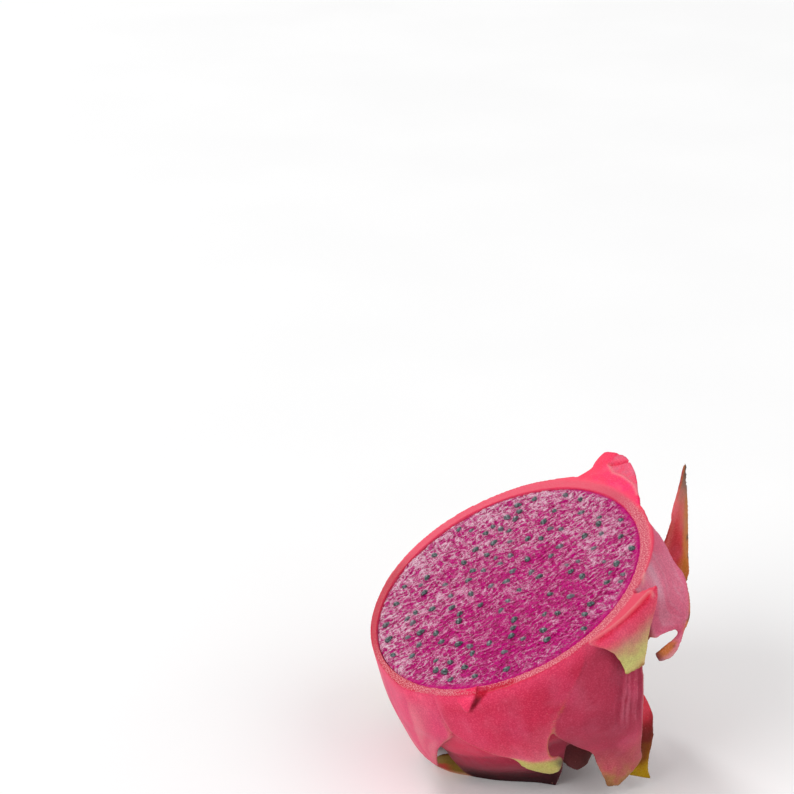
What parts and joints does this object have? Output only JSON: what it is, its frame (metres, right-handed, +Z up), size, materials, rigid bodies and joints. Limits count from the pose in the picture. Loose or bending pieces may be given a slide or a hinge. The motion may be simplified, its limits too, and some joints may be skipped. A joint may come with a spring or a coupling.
{
  "type": "dragon fruit half",
  "caption": "Crown half of a red-fleshed dragon fruit, cut across, with leafy bracts and black seeds, standing tilted on its crown.",
  "frame": {"origin": "middle of the flat spot under the crown, at table level", "axes": "+Z up from the table, +Y away from the viewer of the picture, +X to the viewer's right; the cut face leans 27 degrees from level toward -X and a little toward -Y"},
  "size_m": [0.0985, 0.0985, 0.1008],
  "materials": {
    "peel": "satin, waxy pink rind with green bract tips",
    "flesh": "moist, glossy magenta pulp with black seeds"
  },
  "bodies": {
    "root": {"peel": "peel", "flesh": "flesh"}
  },
  "joints": []
}
